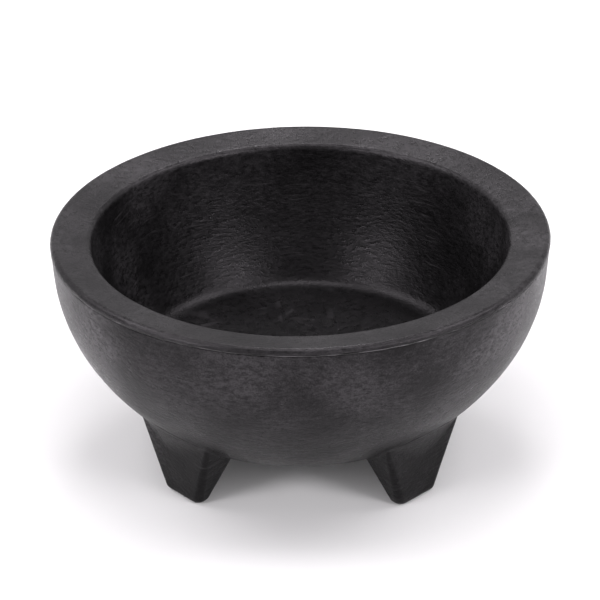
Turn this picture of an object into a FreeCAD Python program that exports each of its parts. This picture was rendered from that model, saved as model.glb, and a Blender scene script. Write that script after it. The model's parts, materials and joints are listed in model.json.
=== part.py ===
"""Molcajete serving bowl: a double-walled moulded bowl with a thick flat rim, on four stub legs.

The origin is on the table, on the bowl's axis. +Z is up and -Y is the front. Sizes are millimetres.

The bowl is two mouldings. The inner bowl carries the rim, and drops into the outer shell by a spigot.
A bead of bonding compound closes the joint, just under the rim. Each leg plugs into the shell by a tenon.
"""
import FreeCAD, Part
import math
import os

from FreeCAD import Vector

# ---- driving dimensions ------------------------------------------------------------------------

RIM_HEIGHT = 98.5             # table to the top of the rim, which is highest at its outer edge
RIM_RADIUS = 101.4
RIM_OUTER_ROUND = 2.5         # section radius of the rim's outer edge
RIM_INNER_ROUND = 2.2         # section radius of the rim's inner edge

JOINT_HEIGHT = RIM_HEIGHT - RIM_OUTER_ROUND     # underside of the rim, bonded on to the shell's top edge
BEAD_THICKNESS = 0.4
BEAD_RADIUS = 101.3           # how far out the bead is squeezed

FLOOR_HEIGHT = 36.0           # inside floor of the bowl
FLOOR_FILLET = 5.5
INSIDE_TOP = (84.4, 96.1)     # (radius, height) where the inside wall meets the rim's sloping top
INSIDE_MIDDLE = (80.4, 67.0)  # (radius, height) halfway down the inside wall, which is an arc
INSIDE_FOOT_RADIUS = 68.3     # where the inside wall meets the floor

LINER_WALL = 3.0              # wall of the inner bowl
SPIGOT_RADIUS = 94.0          # ring under the rim that centres the inner bowl in the shell
SPIGOT_DEPTH = 10.0
SPIGOT_CLEARANCE = 0.3
PEDESTAL_RADIUS = 24.0        # round wall under the floor, standing on the shell's bottom
PEDESTAL_WALL = 4.0

# (radius, height) of the shell's outside, from its top edge to the middle of the belly
OUTSIDE_WALL = [(101.1, 95.6), (99.9, 79.7), (93.7, 59.4), (79.7, 38.5), (59.0, 21.3), (30.5, 13.1), (0.0, 11.1)]
SHELL_WALL = 3.4
PEDESTAL_SEAT_HEIGHT = 17.5   # flat seat inside the shell for the pedestal

LEG_AZIMUTHS = {              # degrees, from the front (-Y) towards +X
    "leg_front_left": -45.0,
    "leg_front_right": 45.0,
    "leg_rear_left": -135.0,
    "leg_rear_right": 135.0,
}
LEG_SOLE = (61.3, 68.5, 10.4) # inner face, outer face (from the axis) and half width, on the table
LEG_ROOT = (47.6, 71.5, 22.2) # the same at LEG_ROOT_HEIGHT, inside the shell
LEG_ROOT_HEIGHT = 36.0
LEG_CORNER_ROUND = 1.6        # upright edges
LEG_SOLE_ROUND = 1.2          # edge round the sole
LEG_FIT = 0.1                 # bond gap between a leg and the shell

TENON_LENGTH = 24.0           # across the leg
TENON_DEPTH = 7.0             # along the radius
TENON_CENTRE = 61.5           # distance from the bowl's axis
TENON_BOTTOM = 14.0           # inside the leg
TENON_TOP = 30.5
TENON_CLEARANCE = 0.2

AXIS = Vector(0, 0, 1)
ORIGIN = Vector(0, 0, 0)


# ---- helpers -----------------------------------------------------------------------------------

def at(radius, height):
    """A point of a section, in the XZ plane."""
    return Vector(radius, 0, height)


def line(start, end):
    return Part.LineSegment(at(*start), at(*end)).toShape()


def arc(start, middle, end):
    return Part.Arc(at(*start), at(*middle), at(*end)).toShape()


def spin(edges):
    """The solid that a closed section sweeps out round the bowl's axis."""
    section = Part.Face(Part.Wire(Part.__sortEdges__(edges)))
    return section.revolve(ORIGIN, AXIS, 360)


def disc(radius, low, high):
    """A plain cylinder on the bowl's axis."""
    return Part.makeCylinder(radius, high - low, Vector(0, 0, low))


def ring(inner, outer, low, high):
    return disc(outer, low, high).cut(disc(inner, low, high))


def circle_edges(solid, corner, tolerance=0.01):
    """The circular edges of a solid of revolution that a corner of its section swept out."""
    radius, height = corner
    circles = [edge for edge in solid.Edges if isinstance(edge.Curve, Part.Circle)]
    return [
        edge for edge in circles
        if abs(edge.Curve.Radius - radius) < tolerance and abs(edge.Curve.Center.z - height) < tolerance
    ]


def turn(shape, azimuth):
    """Turn a shape modelled along +X to its azimuth, counted from the front."""
    turned = shape.copy()
    turned.rotate(ORIGIN, AXIS, azimuth - 90)
    return turned


# ---- sections ----------------------------------------------------------------------------------

def outside_curve():
    """The shell's outside, level at the middle of the belly."""
    curve = Part.BSplineCurve()
    first, second = OUTSIDE_WALL[0], OUTSIDE_WALL[1]
    downwards = Vector(second[0] - first[0], 0, second[1] - first[1]) * 0.9
    curve.interpolate(
        Points=[at(*point) for point in OUTSIDE_WALL],
        InitialTangent=downwards,
        FinalTangent=Vector(-OUTSIDE_WALL[-2][0], 0, 0),
    )
    return curve


def offset_curve(curve, distance, stations=12):
    """The same curve moved towards the bowl's axis, square to itself."""
    points = []
    for step in range(stations + 1):
        parameter = curve.FirstParameter + (curve.LastParameter - curve.FirstParameter) * step / stations
        tangent = curve.tangent(parameter)[0]
        inwards = Vector(tangent.z, 0, -tangent.x)
        points.append(curve.value(parameter) + inwards * distance)
    points[-1].x = 0
    moved = Part.BSplineCurve()
    moved.interpolate(Points=points)
    return moved


def belly_solid(offset):
    """All that lies inside the shell's outside, moved inwards by the offset."""
    curve = outside_curve() if offset == 0 else offset_curve(outside_curve(), offset)
    top = curve.value(curve.FirstParameter)
    bottom = curve.value(curve.LastParameter)
    lid = Part.LineSegment(top, at(0, top.z)).toShape()
    spine = Part.LineSegment(at(0, top.z), bottom).toShape()
    return spin([curve.toShape(), lid, spine])


def rim_edge_point(angle):
    """A point on the rounding of the rim's outer edge, by its angle above level."""
    radius = RIM_RADIUS - RIM_OUTER_ROUND + RIM_OUTER_ROUND * math.cos(angle)
    height = RIM_HEIGHT - RIM_OUTER_ROUND + RIM_OUTER_ROUND * math.sin(angle)
    return (radius, height)


# ---- the two mouldings and the bead between them -------------------------------------------------

def inner_bowl():
    """Rim, inside wall and floor, with the spigot and the pedestal underneath."""
    spigot_height = JOINT_HEIGHT - SPIGOT_DEPTH
    under_floor = FLOOR_HEIGHT - LINER_WALL
    underside_foot = (INSIDE_FOOT_RADIUS + LINER_WALL, under_floor)
    underside_middle = (INSIDE_MIDDLE[0] + LINER_WALL, INSIDE_MIDDLE[1])
    underside_top = (INSIDE_TOP[0] + LINER_WALL, spigot_height)

    upright = math.pi / 2
    rim_edge = rim_edge_point(0)
    rim_top = rim_edge_point(upright)
    inside_foot = (INSIDE_FOOT_RADIUS, FLOOR_HEIGHT)

    solid = spin([
        line((0, under_floor), underside_foot),
        arc(underside_foot, underside_middle, underside_top),
        line(underside_top, (SPIGOT_RADIUS, spigot_height)),
        line((SPIGOT_RADIUS, spigot_height), (SPIGOT_RADIUS, JOINT_HEIGHT)),
        line((SPIGOT_RADIUS, JOINT_HEIGHT), rim_edge),
        arc(rim_edge, rim_edge_point(upright / 2), rim_top),
        line(rim_top, INSIDE_TOP),
        arc(INSIDE_TOP, INSIDE_MIDDLE, inside_foot),
        line(inside_foot, (0, FLOOR_HEIGHT)),
        line((0, FLOOR_HEIGHT), (0, under_floor)),
    ])
    solid = solid.makeFillet(FLOOR_FILLET, circle_edges(solid, inside_foot))
    solid = solid.makeFillet(FLOOR_FILLET + LINER_WALL, circle_edges(solid, underside_foot))
    solid = solid.makeFillet(RIM_INNER_ROUND, circle_edges(solid, INSIDE_TOP))
    pedestal = ring(PEDESTAL_RADIUS - PEDESTAL_WALL, PEDESTAL_RADIUS, PEDESTAL_SEAT_HEIGHT, under_floor)
    return solid.fuse(pedestal).removeSplitter()


def outer_shell():
    """Outside wall and belly, with a seat for the pedestal and a socket for each leg's tenon."""
    shell = belly_solid(0)
    hollow = belly_solid(SHELL_WALL).common(
        disc(SPIGOT_RADIUS + SPIGOT_CLEARANCE, PEDESTAL_SEAT_HEIGHT, RIM_HEIGHT)
    )
    mouth = disc(SPIGOT_RADIUS + SPIGOT_CLEARANCE, JOINT_HEIGHT - SPIGOT_DEPTH, RIM_HEIGHT)
    shell = shell.cut(hollow).cut(mouth)
    for azimuth in LEG_AZIMUTHS.values():
        shell = shell.cut(turn(tenon(TENON_CLEARANCE), azimuth))
    return shell


def seam_bead():
    """The thin ring of bonding compound on the shell's top edge."""
    low = JOINT_HEIGHT - BEAD_THICKNESS
    return ring(SPIGOT_RADIUS + SPIGOT_CLEARANCE, BEAD_RADIUS, low, JOINT_HEIGHT)


# ---- legs ----------------------------------------------------------------------------------------

def tenon(clearance):
    """The block that joins a leg to the shell, or its socket when the clearance isn't nothing."""
    length = TENON_LENGTH + 2 * clearance
    depth = TENON_DEPTH + 2 * clearance
    corner = Vector(TENON_CENTRE - depth / 2, -length / 2, TENON_BOTTOM)
    return Part.makeBox(depth, length, TENON_TOP + clearance - TENON_BOTTOM, corner)


def leg_section(size, height):
    inner, outer, half_width = size
    corners = [
        Vector(inner, -half_width, height),
        Vector(outer, -half_width, height),
        Vector(outer, half_width, height),
        Vector(inner, half_width, height),
    ]
    return Part.makePolygon(corners + corners[:1])


def leg():
    """One leg along +X: four flat tapered faces, cut to the belly above, with a tenon on top."""
    block = Part.makeLoft([leg_section(LEG_SOLE, 0), leg_section(LEG_ROOT, LEG_ROOT_HEIGHT)], True, True)
    uprights = [edge for edge in block.Edges if edge.BoundBox.ZLength > LEG_ROOT_HEIGHT / 2]
    block = block.makeFillet(LEG_CORNER_ROUND, uprights)
    sole_edges = [edge for edge in block.Edges if edge.BoundBox.ZMax < LEG_SOLE_ROUND / 2]
    block = block.makeFillet(LEG_SOLE_ROUND, sole_edges)
    block = block.cut(belly_solid(-LEG_FIT))
    return block.fuse(tenon(0)).removeSplitter()


# ---- export --------------------------------------------------------------------------------------

def main():
    os.makedirs("parts", exist_ok=True)
    nodes = {
        "inner_bowl": inner_bowl(),
        "outer_shell": outer_shell(),
        "seam_bead": seam_bead(),
    }
    one_leg = leg()
    for name, azimuth in LEG_AZIMUTHS.items():
        nodes[name] = turn(one_leg, azimuth)
    for name, shape in nodes.items():
        shape.exportStep(f"parts/{name}.step")


main()
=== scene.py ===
import json
import math

import bmesh
import bpy
import numpy as np
from mathutils import Matrix, Vector, noise


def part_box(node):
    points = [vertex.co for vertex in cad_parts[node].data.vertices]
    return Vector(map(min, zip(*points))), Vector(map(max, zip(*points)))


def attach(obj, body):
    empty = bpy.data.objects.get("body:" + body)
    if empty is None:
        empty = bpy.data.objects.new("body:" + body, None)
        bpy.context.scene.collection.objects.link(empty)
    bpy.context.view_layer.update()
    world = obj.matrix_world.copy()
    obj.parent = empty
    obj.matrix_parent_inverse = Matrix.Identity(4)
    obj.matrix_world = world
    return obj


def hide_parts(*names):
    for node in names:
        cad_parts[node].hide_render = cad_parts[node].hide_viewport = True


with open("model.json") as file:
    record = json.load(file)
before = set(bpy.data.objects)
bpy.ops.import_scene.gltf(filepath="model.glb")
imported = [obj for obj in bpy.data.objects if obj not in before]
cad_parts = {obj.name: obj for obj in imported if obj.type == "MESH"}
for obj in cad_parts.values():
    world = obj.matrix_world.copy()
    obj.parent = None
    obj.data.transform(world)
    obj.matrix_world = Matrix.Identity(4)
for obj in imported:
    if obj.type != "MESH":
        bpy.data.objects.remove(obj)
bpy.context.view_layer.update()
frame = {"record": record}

MM = 0.001

# ---- places read from the frame ------------------------------------------------------------------

BOWL_LOW, BOWL_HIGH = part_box("inner_bowl")
SHELL_LOW, SHELL_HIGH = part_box("outer_shell")
BEAD_LOW, BEAD_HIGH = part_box("seam_bead")

RIM_RADIUS = BOWL_HIGH.x
RIM_TOP = BOWL_HIGH.z
JOINT = BEAD_HIGH.z
BEAD_THICKNESS = BEAD_HIGH.z - BEAD_LOW.z
SHELL_TOP = SHELL_HIGH.z
BELLY_BOTTOM = SHELL_LOW.z
SHELL_RADIUS = SHELL_HIGH.x
PEDESTAL_FOOT = BOWL_LOW.z
MOUNT_PLACES = {mount["name"]: Vector(mount["pos_m"]) for mount in frame["record"]["mounts"]}
BOWL_FLOOR = MOUNT_PLACES["bowl_floor"].z

# ---- sizes of the sections -----------------------------------------------------------------------

OUTER_ROUND = 2.5 * MM
INNER_ROUND = 2.2 * MM
INSIDE_TOP = (84.4 * MM, 96.1 * MM)
INSIDE_MIDDLE = (80.4 * MM, 67.0 * MM)
INSIDE_FOOT_RADIUS = 68.3 * MM
FLOOR_FILLET = 5.5 * MM
LINER_WALL = 3.0 * MM
SHELL_WALL = 3.4 * MM
SPIGOT_RADIUS = 94.0 * MM
SPIGOT_DEPTH = 10.0 * MM
SPIGOT_CLEARANCE = 0.3 * MM
PEDESTAL_RADIUS = 24.0 * MM
PEDESTAL_WALL = 4.0 * MM
JOINT_EDGE_ROUND = 0.5 * MM
FLOOR_FILLET_REACH = 0.7       # how far along the floor and the wall its fillet reaches, in its radii

# (radius, height) of the shell's outside, from its top edge to the middle of the belly
OUTSIDE_WALL = [
    (SHELL_RADIUS, SHELL_TOP),
    (99.9 * MM, 79.7 * MM),
    (93.7 * MM, 59.4 * MM),
    (79.7 * MM, 38.5 * MM),
    (59.0 * MM, 21.3 * MM),
    (30.5 * MM, 13.1 * MM),
    (0.0, BELLY_BOTTOM),
]

LEG_AZIMUTHS = {               # degrees, from the front (-Y) towards +X
    "leg_front_left": -45,
    "leg_front_right": 45,
    "leg_rear_left": -135,
    "leg_rear_right": 135,
}
LEG_SOLE = (61.3 * MM, 68.5 * MM, 10.4 * MM)    # inner face, outer face and half width, on the table
LEG_ROOT = (47.6 * MM, 71.5 * MM, 22.2 * MM)    # the same at LEG_ROOT_HEIGHT
LEG_ROOT_HEIGHT = 36.0 * MM
LEG_CORNER_ROUND = 1.6 * MM
LEG_FOOT_CORNER_ROUND = 3.4 * MM                # the upright edges get rounder towards the sole
LEG_SOLE_ROUND = 2.0 * MM
LEG_SINK = 0.35 * MM           # how far a leg's top edge is sunk into the belly
FACE_FLARE = 10.0 * MM         # how far the outer face's middle runs out into the belly
EDGE_FLARE = 1.2 * MM          # the same at the upright edges and on the other faces
HIGHEST_FLARE = 0.75           # how much of a face's height the run into the belly may take
TENON = (58.0 * MM, 65.0 * MM, 12.0 * MM)       # inner face, outer face and half width
TENON_TOP = 30.5 * MM

BOWL_STEPS = 420               # steps round the mouldings


# ---- curves --------------------------------------------------------------------------------------

SAME_POINT = 1e-7              # points nearer than this are one point
STRAIGHT_ENOUGH = -0.9         # cosine between a corner's two arms, above which it is sharp
LONGEST_CUT = 0.45             # how much of an arm the rounding of one corner may take


def spline(points, count, start_slope, end_slope):
    """A cubic curve through the points, evenly stepped, with the directions it has at its ends."""
    points = np.asarray(points, float)
    steps = np.hypot(*np.diff(points, axis=0).T)
    knots = np.concatenate([[0], np.cumsum(steps)])
    size = len(points)
    system = np.zeros((size, size))
    right = np.zeros((size, 2))
    system[0, 0] = system[-1, -1] = 1
    right[0] = start_slope
    right[-1] = end_slope
    for i in range(1, size - 1):
        before, after = steps[i - 1], steps[i]
        system[i, i - 1] = after
        system[i, i] = 2 * (before + after)
        system[i, i + 1] = before
        rise = (points[i] - points[i - 1]) * after / before + (points[i + 1] - points[i]) * before / after
        right[i] = 3 * rise
    slopes = np.linalg.solve(system, right)
    where = np.linspace(0, knots[-1], count)
    piece = np.clip(np.searchsorted(knots, where, side="right") - 1, 0, size - 2)
    length = steps[piece][:, None]
    t = ((where - knots[piece]) / steps[piece])[:, None]
    return (
        (1 + 2 * t) * (1 - t) ** 2 * points[piece]
        + t * (1 - t) ** 2 * length * slopes[piece]
        + t * t * (3 - 2 * t) * points[piece + 1]
        + t * t * (t - 1) * length * slopes[piece + 1]
    )


def arc_through(start, middle, end, count):
    """Points of the circular arc through three points, where it turns by less than half a circle."""
    (ax, az), (bx, bz), (cx, cz) = start, middle, end
    a_square, b_square, c_square = ax * ax + az * az, bx * bx + bz * bz, cx * cx + cz * cz
    scale = 2 * (ax * (bz - cz) + bx * (cz - az) + cx * (az - bz))
    centre_x = (a_square * (bz - cz) + b_square * (cz - az) + c_square * (az - bz)) / scale
    centre_z = (a_square * (cx - bx) + b_square * (ax - cx) + c_square * (bx - ax)) / scale
    radius = math.hypot(ax - centre_x, az - centre_z)
    first = math.atan2(az - centre_z, ax - centre_x)
    turn = math.atan2(cz - centre_z, cx - centre_x) - first
    if turn > math.pi:
        turn -= math.tau
    if turn < -math.pi:
        turn += math.tau
    angles = np.linspace(first, first + turn, count)
    return np.stack([centre_x + radius * np.cos(angles), centre_z + radius * np.sin(angles)], axis=1)


def bend(start, corner, end, t):
    """The point at share t of the curve that leaves the start and meets the end towards the corner."""
    return (1 - t) ** 2 * start + 2 * t * (1 - t) * corner + t * t * end


def straight(start, end, count):
    """Evenly spaced points of a straight line, with both its ends."""
    return np.linspace(start, end, count)


def join(*runs):
    """Runs of points end to end, without the points they share."""
    points = [runs[0]]
    for run in runs[1:]:
        shared = np.allclose(run[0], points[-1][-1], atol=SAME_POINT)
        points.append(run[1:] if shared else run)
    return np.concatenate(points)


def rounded(points, radius, count):
    """An outline with every sharp corner cut back by up to the radius and rounded."""
    out = [points[0]]
    for before, here, after in zip(points[:-2], points[1:-1], points[2:]):
        back, ahead = before - here, after - here
        back_length, ahead_length = np.hypot(*back), np.hypot(*ahead)
        if np.dot(back, ahead) / (back_length * ahead_length) <= STRAIGHT_ENOUGH:
            out.append(here)
            continue
        cut = min(radius, back_length * LONGEST_CUT, ahead_length * LONGEST_CUT)
        start, end = here + back / back_length * cut, here + ahead / ahead_length * cut
        for t in np.linspace(0, 1, count):
            out.append(bend(start, here, end, t))
    out.append(points[-1])
    return np.array(out)


def outside_curve(count):
    """The shell's outside, from its top edge to the middle of the belly, where it is level."""
    (top_radius, top), (next_radius, lower) = OUTSIDE_WALL[:2]
    down = np.array([next_radius - top_radius, lower - top])
    return spline(OUTSIDE_WALL, count, down / np.hypot(*down), (-1.0, 0.0))


OUTSIDE = outside_curve(600)   # much finer than the mesh, so that heights and radii can be read off it


def shell_radius(height):
    """The shell's outside radius at a height."""
    return np.interp(height, OUTSIDE[::-1, 1], OUTSIDE[::-1, 0])


def shell_height(radius):
    """The height of the belly at a radius."""
    return np.interp(radius, OUTSIDE[::-1, 0], OUTSIDE[::-1, 1])


# ---- relief that every moulded face shares -------------------------------------------------------

RELIEF_LAYERS = (              # depth, waves per metre, and where in the noise the layer is taken
    (0.11 * MM, 26.0, Vector((0.0, 0.0, 0.0))),      # slow waves
    (0.05 * MM, 85.0, Vector((3.1, 7.7, 1.3))),      # lumps
    (0.02 * MM, 260.0, Vector((9.4, 2.6, 5.8))),     # fine grain
)
JOINT_REACH = 2.0 * MM         # how far from the joint its edges wander
JOINT_WANDER = 0.3 * MM
JOINT_WAVES = (70.0, 210.0)    # slow and quick waves per metre of that wander
JOINT_DEPTH = 2.0 * MM         # nothing wanders nearer to the spigot than this
SIDE_GAP = 0.1                 # keeps the two edges of the joint apart in the noise


def relief(place):
    """How far a moulded face stands in from true at a point, as a negative distance."""
    return sum(depth * (noise.noise(place * waves + start) - 1) for depth, waves, start in RELIEF_LAYERS)


def pull_in(vertex, distance):
    """Move a vertex towards the bowl's axis."""
    radius = math.hypot(vertex.co.x, vertex.co.y)
    vertex.co.x -= vertex.co.x / radius * distance
    vertex.co.y -= vertex.co.y / radius * distance


def roughen(mesh):
    """Move each vertex along its normal by the shared relief, and let the edges at the joint wander."""
    slow, quick = JOINT_WAVES
    normals = np.zeros(len(mesh.vertices) * 3)
    mesh.vertices.foreach_get("normal", normals)
    for vertex, normal in zip(mesh.vertices, normals.reshape(-1, 3)):
        place = vertex.co.copy()
        vertex.co += Vector(normal) * relief(place)
        near = 1 - abs(place.z - JOINT) / JOINT_REACH
        if near <= 0 or math.hypot(place.x, place.y) < SPIGOT_RADIUS + JOINT_DEPTH:
            continue
        side = 1 if place.z > JOINT - BEAD_THICKNESS / 2 else -1
        along = Vector((place.x, place.y, side * SIDE_GAP))
        wander = 0.5 + 0.7 * noise.noise(along * slow) + 0.5 * noise.noise(along * quick)
        shift = JOINT_WANDER * near * near * min(max(wander, 0), 1)
        pull_in(vertex, shift)
        vertex.co.z += side * shift / 2
    mesh.update()


# ---- mesh builders -------------------------------------------------------------------------------

def make_object(name, vertices, faces):
    """A smooth-shaded object of the scene, with its faces turned outwards if it is closed."""
    mesh = bpy.data.meshes.new(name)
    mesh.from_pydata([tuple(v) for v in vertices], [], faces)
    mesh.validate()
    shape = bmesh.new()
    shape.from_mesh(mesh)
    if shape.calc_volume(signed=True) < 0:
        bmesh.ops.reverse_faces(shape, faces=shape.faces)
    shape.to_mesh(mesh)
    shape.free()
    mesh.polygons.foreach_set("use_smooth", [True] * len(mesh.polygons))
    mesh.update()
    obj = bpy.data.objects.new(name, mesh)
    bpy.context.scene.collection.objects.link(obj)
    return obj


def lathe(name, section, closed_loop, around=BOWL_STEPS):
    """Spin a section of (radius, height) points round the axis. A radius of nothing is a pole."""
    vertices, rings = [], []
    for radius, height in section:
        if radius < SAME_POINT:
            rings.append([len(vertices)])
            vertices.append((0, 0, height))
            continue
        ring = []
        for step in range(around):
            angle = math.tau * step / around
            ring.append(len(vertices))
            vertices.append((radius * math.cos(angle), radius * math.sin(angle), height))
        rings.append(ring)
    pairs = list(zip(rings[:-1], rings[1:]))
    if closed_loop:
        pairs.append((rings[-1], rings[0]))
    faces = []
    for lower, upper in pairs:
        for step in range(around):
            after = (step + 1) % around
            if len(lower) == 1:
                faces.append((lower[0], upper[after], upper[step]))
            elif len(upper) == 1:
                faces.append((lower[step], lower[after], upper[0]))
            else:
                faces.append((lower[step], lower[after], upper[after], upper[step]))
    return make_object(name, vertices, faces)


def install(obj, node, material):
    """Give a piece its material, hang it under the root body, and hide its CAD node."""
    obj.data.materials.append(material)
    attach(obj, "root")
    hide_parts(node)


# ---- materials -----------------------------------------------------------------------------------

class Graph:
    """A material's nodes, added one at a time. An input is a value, or another node's output."""

    def __init__(self, name):
        self.material = bpy.data.materials.new(name)
        self.material.use_nodes = True
        self.tree = self.material.node_tree
        self.shader = self.tree.nodes["Principled BSDF"]

    def put(self, node, inputs):
        """Set or link a node's inputs."""
        for socket, value in inputs.items():
            if isinstance(value, bpy.types.NodeSocket):
                self.tree.links.new(value, node.inputs[socket])
            else:
                node.inputs[socket].default_value = value
        return node

    def add(self, kind, inputs, **settings):
        """A new node of the kind, with its inputs and settings."""
        node = self.tree.nodes.new("ShaderNode" + kind)
        for setting, value in settings.items():
            setattr(node, setting, value)
        return self.put(node, inputs)

    def noise(self, vector, scale, detail, roughness):
        """A noise from 0 to 1, whose scale counts its grains per metre."""
        inputs = {"Vector": vector, "Scale": scale, "Detail": detail, "Roughness": roughness}
        return self.add("TexNoise", inputs).outputs["Fac"]

    def ramp(self, value, low, high, to_low=0.0, to_high=1.0):
        """The value's way from low to high as a way from one level to another, and level beyond."""
        limits = {"From Min": low, "From Max": high, "To Min": to_low, "To Max": to_high}
        return self.add("MapRange", {"Value": value, **limits}, clamp=True).outputs["Result"]

    def chain(self, operation, values):
        """One Math node after another, through all the values."""
        result = values[0]
        for value in values[1:]:
            result = self.add("Math", {0: result, 1: value}, operation=operation).outputs[0]
        return result

    def product(self, *values):
        return self.chain("MULTIPLY", values)

    def total(self, *values):
        return self.chain("ADD", values)

    def blend(self, share, first, second):
        """A mix of two colours."""
        node = self.add("Mix", {0: share, 6: first, 7: second}, data_type="RGBA")
        return node.outputs[2]

    def shifted(self, vector, offset):
        return self.add("VectorMath", {0: vector, 1: offset}, operation="ADD").outputs[0]

    def stretched(self, vector, rotation, scale):
        return self.add("Mapping", {"Vector": vector, "Rotation": rotation, "Scale": scale}).outputs[0]

    def bump(self, height, strength, distance, normal=None):
        inputs = {"Height": height, "Strength": strength, "Distance": distance}
        if normal is not None:
            inputs["Normal"] = normal
        return self.add("Bump", inputs).outputs[0]


def grey(level, green=0.94):
    """A nearly neutral colour, with the green at a share of the red and the blue."""
    return (level, level * green, level, 1)


GLOSS_TINT = grey(1.0, 0.95)
SCUFFED = grey(0.1)
SCRATCHED = grey(0.05)
WEAR_AND_HIGHLIGHT_GREY = grey(0.045)
SWIRL_REACH = 12 * MM          # the swirls pull the grain by up to half of this each way
SCUFFS_AND_SHEEN_FROM = 50 * MM         # sideways distance from the axis where the scuffs and the painted sheen on the sides start
SCUFFS_AND_SHEEN_FULLY = 85 * MM


def in_swirls(graph, place):
    """The places of a face, pulled about in slow swirls as a moulding compound flows."""
    swirl = graph.add("TexNoise", {"Vector": place, "Scale": 22.0, "Detail": 2.0}).outputs["Color"]
    centred = graph.shifted(swirl, (-0.5, -0.5, -0.5))
    pull = graph.add("VectorMath", {0: centred, "Scale": SWIRL_REACH}, operation="SCALE").outputs[0]
    return graph.shifted(place, pull)


def scratch_mask(graph, place, flowing):
    """Two sets of fine straight scratches, each only in patches."""
    sets = []
    for direction, patch_scale in (((0.9, 0.5, 0.2), 40.0), ((-0.8, 0.7, 1.1), 33.0)):
        lines = graph.noise(graph.stretched(flowing, direction, (60.0, 60.0, 1100.0)), 1.0, 2.0, 0.6)
        patches = graph.ramp(graph.noise(place, patch_scale, 2.0, 0.5), 0.5, 0.62)
        sets.append(graph.product(graph.ramp(lines, 0.62, 0.72), patches))
    return graph.chain("MAXIMUM", sets)


def wear_and_highlight_mask(graph, pores):
    """Edges that stand out, in specks: wear, and painted highlights along those edges."""
    pointed = graph.add("NewGeometry", {}).outputs["Pointiness"]
    return graph.product(graph.ramp(pointed, 0.515, 0.58), graph.ramp(pores, 0.45, 0.62))


def moulding_material(name, seed, gloss, body, foot, scuff_and_sheen_strength, bumpiness):
    """Charcoal moulding: granular hatch, fine grain, faint swirls, scratches, scuffed sides with painted
    sheen, worn edges with painted highlights, painted shade lower down.

    The body is the grey of the palest grain. The foot paints shade lower down: it is a low height, a high
    one, and the share of the body's grey that is left at the low one. Scuffs, and a painted sheen that
    lightens the grey, grow on the sides, away from the middle of X.
    """
    graph = Graph(name)
    own = graph.add("TexCoord", {}).outputs["Object"]
    axes = graph.add("SeparateXYZ", {"Vector": own}).outputs
    place = graph.shifted(own, (seed, seed * 0.7, seed * 0.3))
    flowing = in_swirls(graph, place)

    clouds = graph.noise(flowing, 30.0, 4.0, 0.62)
    hatch = graph.noise(graph.stretched(flowing, (0.45, 0.3, 0.0), (1.0, 1.0, 2.1)), 330.0, 4.0, 0.68)
    pores = graph.noise(place, 520.0, 3.0, 0.65)
    grain = graph.noise(place, 1700.0, 2.0, 0.7)

    # scuffs and painted sheen: away from the middle of X the sides get scuffs and, as painted sheen, a
    # lighter grey
    sideways = graph.add("Math", {0: axes["X"]}, operation="ABSOLUTE").outputs[0]
    side_scuffs_and_sheen = graph.ramp(sideways, SCUFFS_AND_SHEEN_FROM, SCUFFS_AND_SHEEN_FULLY, 0.12 * scuff_and_sheen_strength, scuff_and_sheen_strength)
    mottle = graph.total(graph.product(pores, 0.6), graph.product(hatch, 0.4))
    scuffs = graph.product(graph.ramp(mottle, 0.46, 0.60), graph.ramp(clouds, 0.44, 0.62), side_scuffs_and_sheen)
    scratches = scratch_mask(graph, place, flowing)
    wear_and_highlights = wear_and_highlight_mask(graph, pores)

    painted_shade_low, painted_shade_high, painted_shade_share = foot
    tone = graph.product(
        graph.ramp(hatch, 0.36, 0.66, 0.6, 1.45),
        graph.ramp(grain, 0.32, 0.68, 0.3, 1.9),
        graph.ramp(clouds, 0.33, 0.67, 0.18, 0.62),
        # painted shade: the grey darkens lower down, inside the bowl and under the belly
        graph.ramp(axes["Z"], painted_shade_low, painted_shade_high, painted_shade_share, 1.0),
        # painted sheen: the grey is lighter on the sides
        graph.ramp(side_scuffs_and_sheen, 0.0, 1.0, 1.0, 1.9),
    )
    colour = graph.blend(tone, grey(0.0), grey(body))
    colour = graph.blend(graph.product(scuffs, 0.8), colour, SCUFFED)
    colour = graph.blend(graph.product(scratches, 0.45), colour, SCRATCHED)
    # wear with painted highlights: convex edges are lighter in specks
    colour = graph.blend(graph.product(wear_and_highlights, 0.4), colour, WEAR_AND_HIGHLIGHT_GREY)

    rough = graph.total(
        graph.ramp(hatch, 0.35, 0.65, 0.25, 0.36),
        graph.ramp(clouds, 0.35, 0.65, 0.04, -0.03),
        graph.ramp(grain, 0.32, 0.68, 0.05, -0.03),
        graph.product(scuffs, 0.08),
        graph.product(scratches, 0.08),
    )

    normal = graph.bump(hatch, bumpiness, 0.4 * MM)
    normal = graph.bump(pores, 0.40, 0.14 * MM, normal)
    normal = graph.bump(grain, 0.60, 0.06 * MM, normal)

    graph.put(graph.shader, {
        "Base Color": colour,
        "Roughness": rough,
        "Normal": normal,
        "Specular IOR Level": gloss,
        "Specular Tint": GLOSS_TINT,
    })
    return graph.material


def bead_material():
    """Bonding compound: a paler, glossier grey than the mouldings, uneven round the joint; the paler grey
    also paints the bright line of light along the joint.
    """
    graph = Graph("bonding_compound")
    own = graph.add("TexCoord", {}).outputs["Object"]
    uneven = graph.noise(own, 90.0, 3.0, 0.6)
    specks = graph.noise(own, 700.0, 2.0, 0.6)
    graph.put(graph.shader, {
        # painted highlight: besides the compound's own paler grey, the lightness paints the light caught
        # along the joint
        "Base Color": graph.blend(graph.ramp(uneven, 0.46, 0.6), grey(0.008), grey(0.085)),
        "Roughness": graph.ramp(specks, 0.3, 0.7, 0.28, 0.5),
        "Normal": graph.bump(specks, 0.5, 0.2 * MM),
    })
    return graph.material


# ---- the inner bowl ------------------------------------------------------------------------------

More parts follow.
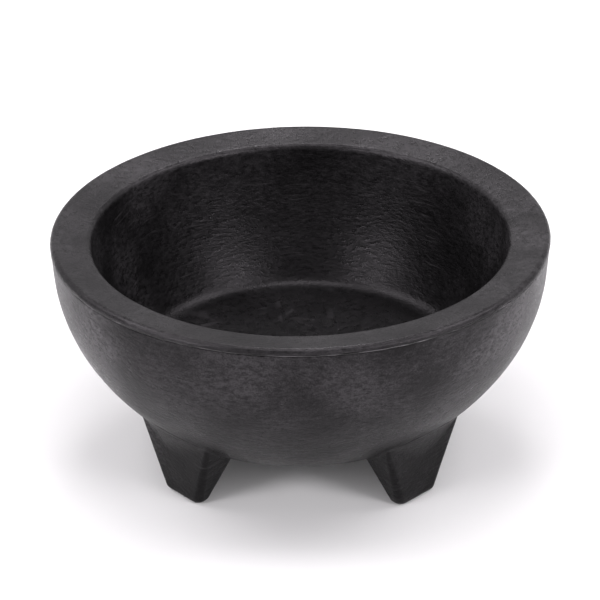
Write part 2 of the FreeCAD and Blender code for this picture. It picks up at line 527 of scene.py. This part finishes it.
def fillet(points, corner, radius, count):
    """The outline with its corner point replaced by a curve that starts and ends the radius away."""
    distances = np.hypot(*(points - points[corner]).T)
    first, last = corner, corner
    while first > 0 and distances[first] < radius:
        first -= 1
    while last < len(points) - 1 and distances[last] < radius:
        last += 1
    shares = np.linspace(0, 1, count)[:, None]
    curve = bend(points[first], points[corner], points[last], shares)
    return np.concatenate([points[:first], curve, points[last + 1:]])


def bowl_section():
    """The inner bowl's section, from the middle of the floor up over the rim and back underneath."""
    floor = straight((0, BOWL_FLOOR), (INSIDE_FOOT_RADIUS, BOWL_FLOOR), 56)
    wall = arc_through((INSIDE_FOOT_RADIUS, BOWL_FLOOR), INSIDE_MIDDLE, INSIDE_TOP, 70)
    visible = fillet(join(floor, wall), len(floor) - 1, FLOOR_FILLET * FLOOR_FILLET_REACH, 16)
    edge_centre = (RIM_RADIUS - OUTER_ROUND, RIM_TOP - OUTER_ROUND)
    top = straight(INSIDE_TOP, (edge_centre[0], RIM_TOP), 20)
    corner = len(visible) - 1
    visible = fillet(join(visible, top), corner, INNER_ROUND, 12)
    angles = np.linspace(math.pi / 2, 0, 14)
    edge = np.column_stack([
        edge_centre[0] + OUTER_ROUND * np.cos(angles),
        edge_centre[1] + OUTER_ROUND * np.sin(angles),
    ])
    under_floor = BOWL_FLOOR - LINER_WALL
    spigot_foot = JOINT - SPIGOT_DEPTH
    underside_top = (INSIDE_TOP[0] + LINER_WALL, spigot_foot)
    underside_foot = (INSIDE_FOOT_RADIUS + LINER_WALL, under_floor)
    underside_middle = (INSIDE_MIDDLE[0] + LINER_WALL, INSIDE_MIDDLE[1])
    seat = straight(edge[-1], (SPIGOT_RADIUS, JOINT), 5)
    spigot = np.array([(SPIGOT_RADIUS, JOINT), (SPIGOT_RADIUS, spigot_foot), underside_top])
    underside = arc_through(underside_top, underside_middle, underside_foot, 16)
    hidden = join(seat, spigot, underside)
    corner = len(hidden) - 1
    hidden = join(hidden, straight(underside_foot, (PEDESTAL_RADIUS, under_floor), 8))
    hidden = fillet(hidden, corner, FLOOR_FILLET + LINER_WALL, 8)
    pedestal = np.array([
        (PEDESTAL_RADIUS, under_floor),
        (PEDESTAL_RADIUS, PEDESTAL_FOOT),
        (PEDESTAL_RADIUS - PEDESTAL_WALL, PEDESTAL_FOOT),
        (PEDESTAL_RADIUS - PEDESTAL_WALL, under_floor),
        (0, under_floor),
    ])
    return join(visible, edge, hidden, pedestal)


def make_bowl(material):
    """Rim, inside wall and floor, with the spigot and the pedestal out of sight."""
    section = rounded(bowl_section(), JOINT_EDGE_ROUND, 4)
    bowl = lathe("inner_bowl_moulding", section, closed_loop=False)
    roughen(bowl.data)
    install(bowl, "inner_bowl", material)


# ---- the outer shell -----------------------------------------------------------------------------

NEAR_JOINT = 18                # points of the outside curve that lie near the joint


def make_shell(material):
    """Outside wall and belly, stepped finely near the joint, with the inside a wall's thickness in."""
    outside = np.concatenate([OUTSIDE[:NEAR_JOINT:3], OUTSIDE[NEAR_JOINT:-1:5], OUTSIDE[-1:]])
    slopes = np.gradient(outside, axis=0)
    slopes /= np.hypot(*slopes.T)[:, None]
    inwards = np.column_stack([slopes[:, 1], -slopes[:, 0]])
    inside = (outside + inwards * SHELL_WALL)[::-3]
    mouth = SPIGOT_RADIUS + SPIGOT_CLEARANCE
    inside[:, 0] = np.clip(inside[:, 0], 0, mouth)
    inside[:, 1] = np.maximum(inside[:, 1], PEDESTAL_FOOT)
    inside[0, 0] = 0
    land = straight((mouth, SHELL_TOP), outside[0], 6)
    section = rounded(join(inside, land, outside), JOINT_EDGE_ROUND, 4)
    shell = lathe("outer_shell_moulding", section, closed_loop=False)
    roughen(shell.data)
    install(shell, "outer_shell", material)


# ---- the seam bead -------------------------------------------------------------------------------

BEAD_WANDER = 0.5 * MM
BEAD_STEPS = 900               # steps round the bead, whose nose is finer than the mouldings
BEAD_WAVES = (55.0, 190.0)     # slow and quick waves per metre of its nose
BEAD_CLEARANCE = 0.5 * MM      # between the bead and the spigot


def make_bead(material):
    """A thin ring whose nose stands out of the joint by an uneven amount."""
    slow, quick = BEAD_WAVES
    half = BEAD_THICKNESS / 2
    middle = BEAD_LOW.z + half
    inner = SPIGOT_RADIUS + BEAD_CLEARANCE
    nose = BEAD_HIGH.x - half
    section = [(inner, middle + half), (inner, middle - half)]
    for angle in np.linspace(-math.pi / 2, math.pi / 2, 9):
        section.append((nose + half * math.cos(angle), middle + half * math.sin(angle)))
    bead = lathe("seam_bead_ring", section, closed_loop=True, around=BEAD_STEPS)
    for vertex in bead.data.vertices:
        if math.hypot(vertex.co.x, vertex.co.y) < nose - half:
            continue
        uneven = 0.5 + 0.6 * noise.noise(vertex.co * slow) + 0.6 * noise.noise(vertex.co * quick)
        pull_in(vertex, BEAD_WANDER * min(max(uneven, 0), 1))
    bead.data.update()
    install(bead, "seam_bead", material)


# ---- legs ----------------------------------------------------------------------------------------

LEG_STEPS = 132                # points round a leg
SIDE_STEPS = LEG_STEPS // 4    # points of one side and the corner after it
CORNER_STEPS = SIDE_STEPS // 4
LEAST_CORNER = 0.3 * MM        # a shrunk section's corners stay at least this round
TENON_CORNER = 0.5 * MM


def rounded_rectangle(size, corner, shrink=0.0):
    """Points round a leg's section, their outward directions, and how near each is to the outer middle.

    That last number is 1 in the middle of the outer side, and 0 at its ends and on the other sides.
    """
    inner, outer, half_width = size
    centre_x = (inner + outer) / 2
    half_depth = (outer - inner) / 2 - shrink
    half_width -= shrink
    corner = max(corner - shrink, LEAST_CORNER)
    points, outwards, middles = [], [], []
    sides = [
        ((1, 0), (0, 1), half_depth, half_width),
        ((0, 1), (-1, 0), half_width, half_depth),
        ((-1, 0), (0, -1), half_depth, half_width),
        ((0, -1), (1, 0), half_width, half_depth),
    ]
    for out, along, reach, half in sides:
        for t in np.linspace(-1, 1, SIDE_STEPS - CORNER_STEPS):
            span = (half - corner) * t
            points.append((centre_x + out[0] * reach + along[0] * span, out[1] * reach + along[1] * span))
            outwards.append(out)
            middles.append(1 - t * t if out == (1, 0) else 0)
        for i in range(1, CORNER_STEPS + 1):
            angle = math.pi / 2 * i / (CORNER_STEPS + 1)
            direction = (
                out[0] * math.cos(angle) + along[0] * math.sin(angle),
                out[1] * math.cos(angle) + along[1] * math.sin(angle),
            )
            centre = (
                centre_x + out[0] * (reach - corner) + along[0] * (half - corner),
                out[1] * (reach - corner) + along[1] * (half - corner),
            )
            points.append((centre[0] + direction[0] * corner, centre[1] + direction[1] * corner))
            outwards.append(direction)
            middles.append(0)
    return np.array(points), np.array(outwards), np.array(middles)


def leg_size(height):
    """A leg's inner face, outer face and half width at a height."""
    share = height / LEG_ROOT_HEIGHT
    return [a + (b - a) * share for a, b in zip(LEG_SOLE, LEG_ROOT)]


def meeting_point(foot, top):
    """Where a straight line up a leg's face meets the belly."""
    low, high = 0.0, 1.0
    for _ in range(40):
        middle = (low + high) / 2
        point = foot + (top - foot) * middle
        if math.hypot(point[0], point[1]) > shell_radius(point[2]):
            low = middle
        else:
            high = middle
    return foot + (top - foot) * low


def on_belly(points):
    """The points of a plan moved up to just inside the belly."""
    radii = np.hypot(points[:, 0], points[:, 1])
    heights = shell_height(radii) + LEG_SINK
    return np.column_stack([points[:, 0], points[:, 1], heights])


def leg_rings():
    """A leg's outlines along +X: sole, tapered faces, the run into the belly, its top and the tenon."""
    rings = []
    for angle in np.linspace(0, math.pi / 2, 7):
        shrink = LEG_SOLE_ROUND * (1 - math.sin(angle))
        height = LEG_SOLE_ROUND * (1 - math.cos(angle))
        outline = rounded_rectangle(leg_size(height), LEG_FOOT_CORNER_ROUND, shrink)[0]
        rings.append(np.column_stack([outline, np.full(LEG_STEPS, height)]))
    sole, outwards, middles = rounded_rectangle(LEG_SOLE, LEG_FOOT_CORNER_ROUND)
    root = rounded_rectangle(LEG_ROOT, LEG_CORNER_ROUND)[0]
    starts, corners, ends = [], [], []
    for foot, top, out, middle in zip(sole, root, outwards, middles):
        foot = np.array([*foot, 0.0])
        top = np.array([*top, LEG_ROOT_HEIGHT])
        meet = meeting_point(foot, top)
        flare = EDGE_FLARE + (FACE_FLARE - EDGE_FLARE) * middle
        upwards = (top - foot) / np.linalg.norm(top - foot)
        end = meet + np.array([*out, 0.0]) * flare
        end[2] = shell_height(math.hypot(end[0], end[1])) + LEG_SINK
        starts.append(meet - upwards * min(flare, meet[2] * HIGHEST_FLARE))
        corners.append(meet)
        ends.append(end)
    starts, corners, ends = np.array(starts), np.array(corners), np.array(ends)
    first = rings[-1]
    for share in np.linspace(0, 1, 16)[1:]:
        rings.append(first + (starts - first) * share)
    for t in np.linspace(0, 1, 18)[1:]:
        rings.append(bend(starts, corners, ends, t))
    tenon = rounded_rectangle(TENON, TENON_CORNER)[0]
    for share in np.linspace(0, 1, 8)[1:]:
        rings.append(on_belly(ends[:, :2] + (tenon - ends[:, :2]) * share))
    rings.append(np.column_stack([tenon, np.full(LEG_STEPS, TENON_TOP)]))
    return rings


def make_leg(node, azimuth, material):
    """One leg, turned to its azimuth, which counts from the front towards +X."""
    turn = Matrix.Rotation(math.radians(azimuth - 90), 3, "Z")
    rings = leg_rings()
    vertices = [turn @ Vector(point) for ring in rings for point in ring]
    faces = []
    for level in range(len(rings) - 1):
        for step in range(LEG_STEPS):
            after = (step + 1) % LEG_STEPS
            low, high = level * LEG_STEPS, (level + 1) * LEG_STEPS
            faces.append((low + step, low + after, high + after, high + step))
    for level, middle_of in ((0, LEG_SOLE), (len(rings) - 1, TENON)):
        centre = len(vertices)
        height = rings[level][0][2]
        vertices.append(turn @ Vector(((middle_of[0] + middle_of[1]) / 2, 0, height)))
        for step in range(LEG_STEPS):
            pair = (level * LEG_STEPS + step, level * LEG_STEPS + (step + 1) % LEG_STEPS)
            faces.append((*(pair if level else pair[::-1]), centre))
    leg = make_object(node + "_foot", vertices, faces)
    roughen(leg.data)
    install(leg, node, material)


# ---- stage ---------------------------------------------------------------------------------------

CAMERA_TARGET = Vector((0, 0, 0.1))     # just above the middle of the rim
CAMERA_DISTANCE = 1.015
CAMERA_ELEVATION = math.radians(26.6)
CAMERA_AZIMUTH = math.radians(2.2)
CAMERA_ROLL = math.radians(-0.85)
CAMERA_AIM_DROP = math.radians(1.73)
CAMERA_LENS = 150.4
CAMERA_SENSOR = 36

STAGE_HALF_SIZE = 3.0
STAGE_COLOUR = (0.9, 0.9, 0.9, 1)
STAGE_ROUGHNESS = 0.9

LIGHT_COLOUR = (1.0, 0.975, 1.0)
DARK_SIDE = (0.0, -0.26, 0.966)         # where the room is darkest: high up, towards the camera
ROOM_RAMP = {"From Min": 0.55, "From Max": 0.95, "To Min": 0.58, "To Max": 0.25}
SOFTBOXES = (                           # name, azimuth, elevation, distance, size and power
    ("left_front", -50, 28, 1.3, 0.4, 6.5),
    ("left_high", -95, 52, 1.3, 0.6, 6.0),
    ("right_front", 50, 28, 1.3, 0.4, 6.5),
    ("right_high", 95, 52, 1.3, 0.6, 6.0),
    ("behind", 180, 56, 1.4, 0.35, 4.0),
    ("overhead", 0, 86, 1.3, 0.5, 5.0),
)


def make_camera():
    """The camera, aimed a little under its target and slightly rolled."""
    data = bpy.data.cameras.new("camera")
    data.lens = CAMERA_LENS
    data.sensor_width = CAMERA_SENSOR
    camera = bpy.data.objects.new("camera", data)
    bpy.context.scene.collection.objects.link(camera)
    level = math.cos(CAMERA_ELEVATION)
    back = Vector((
        math.sin(CAMERA_AZIMUTH) * level,
        -math.cos(CAMERA_AZIMUTH) * level,
        math.sin(CAMERA_ELEVATION),
    ))
    turn = back.to_track_quat("Z", "Y").to_matrix()
    turn = turn @ Matrix.Rotation(CAMERA_ROLL, 3, "Z") @ Matrix.Rotation(-CAMERA_AIM_DROP, 3, "X")
    camera.matrix_world = Matrix.Translation(CAMERA_TARGET + back * CAMERA_DISTANCE) @ turn.to_4x4()
    bpy.context.scene.camera = camera


def make_floor():
    """The plain pale floor."""
    half = STAGE_HALF_SIZE
    corners = [(-half, -half, 0), (half, -half, 0), (half, half, 0), (-half, half, 0)]
    floor = make_object("floor", corners, [(0, 1, 2, 3)])
    material = bpy.data.materials.new("white_floor")
    material.use_nodes = True
    shader = material.node_tree.nodes["Principled BSDF"]
    shader.inputs["Base Color"].default_value = STAGE_COLOUR
    shader.inputs["Roughness"].default_value = STAGE_ROUGHNESS
    floor.data.materials.append(material)


def softbox(name, azimuth, elevation, distance, size, power):
    """A square light that faces the bowl, its azimuth counted from the front towards +X."""
    azimuth, elevation = math.radians(azimuth), math.radians(elevation)
    towards = Vector((
        math.sin(azimuth) * math.cos(elevation),
        -math.cos(azimuth) * math.cos(elevation),
        math.sin(elevation),
    ))
    data = bpy.data.lights.new(name, "AREA")
    data.size = size
    data.energy = power
    data.color = LIGHT_COLOUR
    light = bpy.data.objects.new(name, data)
    light.location = Vector((0, 0, JOINT / 2)) + towards * distance
    light.rotation_euler = towards.to_track_quat("Z", "Y").to_euler()
    bpy.context.scene.collection.objects.link(light)


def make_lights():
    """A pale room that is darker high up towards the camera, and the softboxes."""
    world = bpy.data.worlds.new("studio")
    world.use_nodes = True
    nodes, links = world.node_tree.nodes, world.node_tree.links
    towards = nodes.new("ShaderNodeTexCoord")
    likeness = nodes.new("ShaderNodeVectorMath")
    likeness.operation = "DOT_PRODUCT"
    likeness.inputs[1].default_value = DARK_SIDE
    strength = nodes.new("ShaderNodeMapRange")
    for socket, value in ROOM_RAMP.items():
        strength.inputs[socket].default_value = value
    links.new(towards.outputs["Generated"], likeness.inputs[0])
    links.new(likeness.outputs["Value"], strength.inputs["Value"])
    links.new(strength.outputs["Result"], nodes["Background"].inputs["Strength"])
    nodes["Background"].inputs["Color"].default_value = (*LIGHT_COLOUR, 1)
    bpy.context.scene.world = world
    for name, *settings in SOFTBOXES:
        softbox(name, *settings)


def main():
    """The seven pieces and the stage."""
    bpy.context.scene.view_settings.view_transform = "Standard"
    upper = moulding_material(
        "upper_moulding",
        seed=0.0,
        gloss=0.225,
        body=0.026,
        foot=(60 * MM, 95 * MM, 0.4),
        scuff_and_sheen_strength=0.25,
        bumpiness=0.7,
    )
    lower = moulding_material(
        "lower_moulding",
        seed=0.37,
        gloss=0.11,
        body=0.036,
        foot=(20 * MM, 70 * MM, 0.2),
        scuff_and_sheen_strength=1.0,
        bumpiness=0.55,
    )
    make_bowl(upper)
    make_shell(lower)
    make_bead(bead_material())
    for node, azimuth in LEG_AZIMUTHS.items():
        make_leg(node, azimuth, lower)
    make_camera()
    make_floor()
    make_lights()


main()
